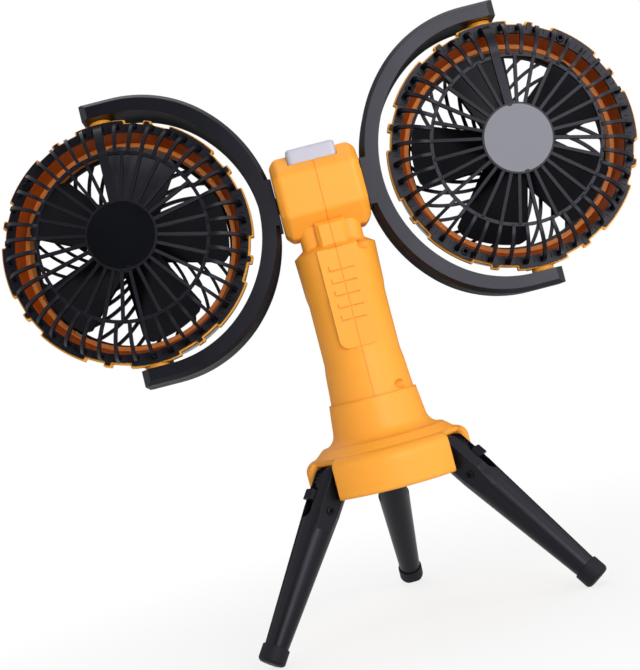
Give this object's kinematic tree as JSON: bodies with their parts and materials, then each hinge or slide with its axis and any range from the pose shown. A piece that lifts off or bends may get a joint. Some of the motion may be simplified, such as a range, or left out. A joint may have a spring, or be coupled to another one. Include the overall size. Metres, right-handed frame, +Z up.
{
  "type": "foldable desk fan",
  "caption": "Twin-head rechargeable camping fan: caged fans in swivelling yokes on a grip-shaped body with a top lamp and a folding tripod.",
  "frame": {"origin": "on the floor, in the middle of the object's bounding box", "axes": "+Z up, +Y the way the fans blow, so the domed rear guards face -Y; +X to the right as seen from behind"},
  "size_m": [0.41, 0.1844, 0.3627],
  "materials": {
    "orange_plastic": "moulded satin",
    "black_plastic": "fine satin",
    "rotor_plastic": "satin gloss",
    "leg_plastic": "matt grained",
    "foot_rubber": "matt",
    "frosted_lens": "frosted",
    "screw_steel": "black zinc",
    "pivot_metal": "satin",
    "cell_can": "shrink sleeve",
    "circuit_board": "solder mask",
    "button_plastic": "satin"
  },
  "bodies": {
    "base": {"body_shell_left": "orange_plastic", "body_shell_right": "orange_plastic", "body_screws": "screw_steel", "lamp_lens": "frosted_lens", "lamp_board": "circuit_board", "battery_cells": "cell_can", "control_board": "circuit_board", "charge_port": "pivot_metal", "tripod_hub": "orange_plastic", "hub_base": "orange_plastic", "hub_screws": "screw_steel", "leg_knuckles": "leg_plastic", "leg_pins": "screw_steel"},
    "fan_button": {"fan_button": "button_plastic"},
    "light_button": {"light_button": "button_plastic"},
    "leg_front_left": {"leg_front_left": "leg_plastic", "foot_cap_front_left": "foot_rubber", "leg_screws_front_left": "screw_steel", "latch_spring_front_left": "screw_steel"},
    "latch_front_left": {"latch_front_left": "leg_plastic"},
    "leg_front_right": {"leg_front_right": "leg_plastic", "foot_cap_front_right": "foot_rubber", "leg_screws_front_right": "screw_steel", "latch_spring_front_right": "screw_steel"},
    "latch_front_right": {"latch_front_right": "leg_plastic"},
    "leg_rear": {"leg_rear": "leg_plastic", "foot_cap_rear": "foot_rubber", "leg_screws_rear": "screw_steel", "latch_spring_rear": "screw_steel"},
    "latch_rear": {"latch_rear": "leg_plastic"},
    "yoke_left": {"yoke_rear_shell_left": "black_plastic", "yoke_front_shell_left": "black_plastic", "yoke_screws_left": "screw_steel", "yoke_pivot_left": "pivot_metal"},
    "head_left": {"fan_housing_left": "orange_plastic", "head_pivots_left": "pivot_metal", "rear_grille_left": "black_plastic", "grille_screws_left": "screw_steel", "front_grille_left": "black_plastic", "light_ring_left": "frosted_lens", "led_board_left": "circuit_board", "motor_left": "pivot_metal"},
    "rotor_left": {"impeller_left": "rotor_plastic", "motor_shaft_left": "screw_steel"},
    "yoke_right": {"yoke_rear_shell_right": "black_plastic", "yoke_front_shell_right": "black_plastic", "yoke_screws_right": "screw_steel", "yoke_pivot_right": "pivot_metal"},
    "head_right": {"fan_housing_right": "orange_plastic", "head_pivots_right": "pivot_metal", "rear_grille_right": "black_plastic", "grille_screws_right": "screw_steel", "front_grille_right": "black_plastic", "light_ring_right": "frosted_lens", "led_board_right": "circuit_board", "motor_right": "pivot_metal"},
    "rotor_right": {"impeller_right": "rotor_plastic", "motor_shaft_right": "screw_steel"}
  },
  "joints": [
    {"name": "fan_button_press", "type": "slide", "parent": "base", "child": "fan_button", "axis": [0, -1, 0], "range_m": [0, 0.0008], "stiffness_N_per_m": 1500, "springref_m": -0.0004},
    {"name": "light_button_press", "type": "slide", "parent": "base", "child": "light_button", "axis": [0, -1, 0], "range_m": [0, 0.0008], "stiffness_N_per_m": 1500, "springref_m": -0.0004},
    {"name": "leg_fold_front_left", "type": "hinge", "parent": "base", "child": "leg_front_left", "pos_m": [-0.0394, -0.05051, 0.09235], "axis": [0.5, -0.866, 0], "range_deg": [0, 37.7]},
    {"name": "latch_slide_front_left", "type": "slide", "parent": "leg_front_left", "child": "latch_front_left", "axis": [-0.5296, -0.3058, -0.7912], "range_m": [0, 0.005], "stiffness_N_per_m": 600, "springref_m": -0.002, "deforming": ["latch_spring_front_left"]},
    {"name": "leg_fold_front_right", "type": "hinge", "parent": "base", "child": "leg_front_right", "pos_m": [0.0394, -0.05051, 0.09235], "axis": [0.5, 0.866, 0], "range_deg": [0, 37.7]},
    {"name": "latch_slide_front_right", "type": "slide", "parent": "leg_front_right", "child": "latch_front_right", "axis": [0.5296, -0.3058, -0.7912], "range_m": [0, 0.005], "stiffness_N_per_m": 600, "springref_m": -0.002, "deforming": ["latch_spring_front_right"]},
    {"name": "leg_fold_rear", "type": "hinge", "parent": "base", "child": "leg_rear", "pos_m": [0, 0.01774, 0.09235], "axis": [-1, 0, 0], "range_deg": [0, 37.7]},
    {"name": "latch_slide_rear", "type": "slide", "parent": "leg_rear", "child": "latch_rear", "axis": [0, 0.6115, -0.7912], "range_m": [0, 0.005], "stiffness_N_per_m": 600, "springref_m": -0.002, "deforming": ["latch_spring_rear"]},
    {"name": "yoke_tilt_left", "type": "hinge", "parent": "base", "child": "yoke_left", "pos_m": [-0.0279, -0.02776, 0.2698], "axis": [1, 0, 0], "range_deg": [-85, 95]},
    {"name": "head_turn_left", "type": "hinge", "parent": "yoke_left", "child": "head_left", "pos_m": [-0.1253, -0.02776, 0.2698], "axis": [0, 0.0872, 0.9962], "range_deg": [-90, 90]},
    {"name": "rotor_spin_left", "type": "hinge", "parent": "head_left", "child": "rotor_left", "pos_m": [-0.1253, -0.02776, 0.2698], "axis": [0, 0.9962, -0.0872], "continuous": true},
    {"name": "yoke_tilt_right", "type": "hinge", "parent": "base", "child": "yoke_right", "pos_m": [0.0279, -0.02776, 0.2698], "axis": [1, 0, 0], "range_deg": [-90, 90]},
    {"name": "head_turn_right", "type": "hinge", "parent": "yoke_right", "child": "head_right", "pos_m": [0.1253, -0.02776, 0.2698], "axis": [0, 0, 1], "range_deg": [-90, 90]},
    {"name": "rotor_spin_right", "type": "hinge", "parent": "head_right", "child": "rotor_right", "pos_m": [0.1253, -0.02776, 0.2698], "axis": [0, 1, 0], "continuous": true}
  ]
}
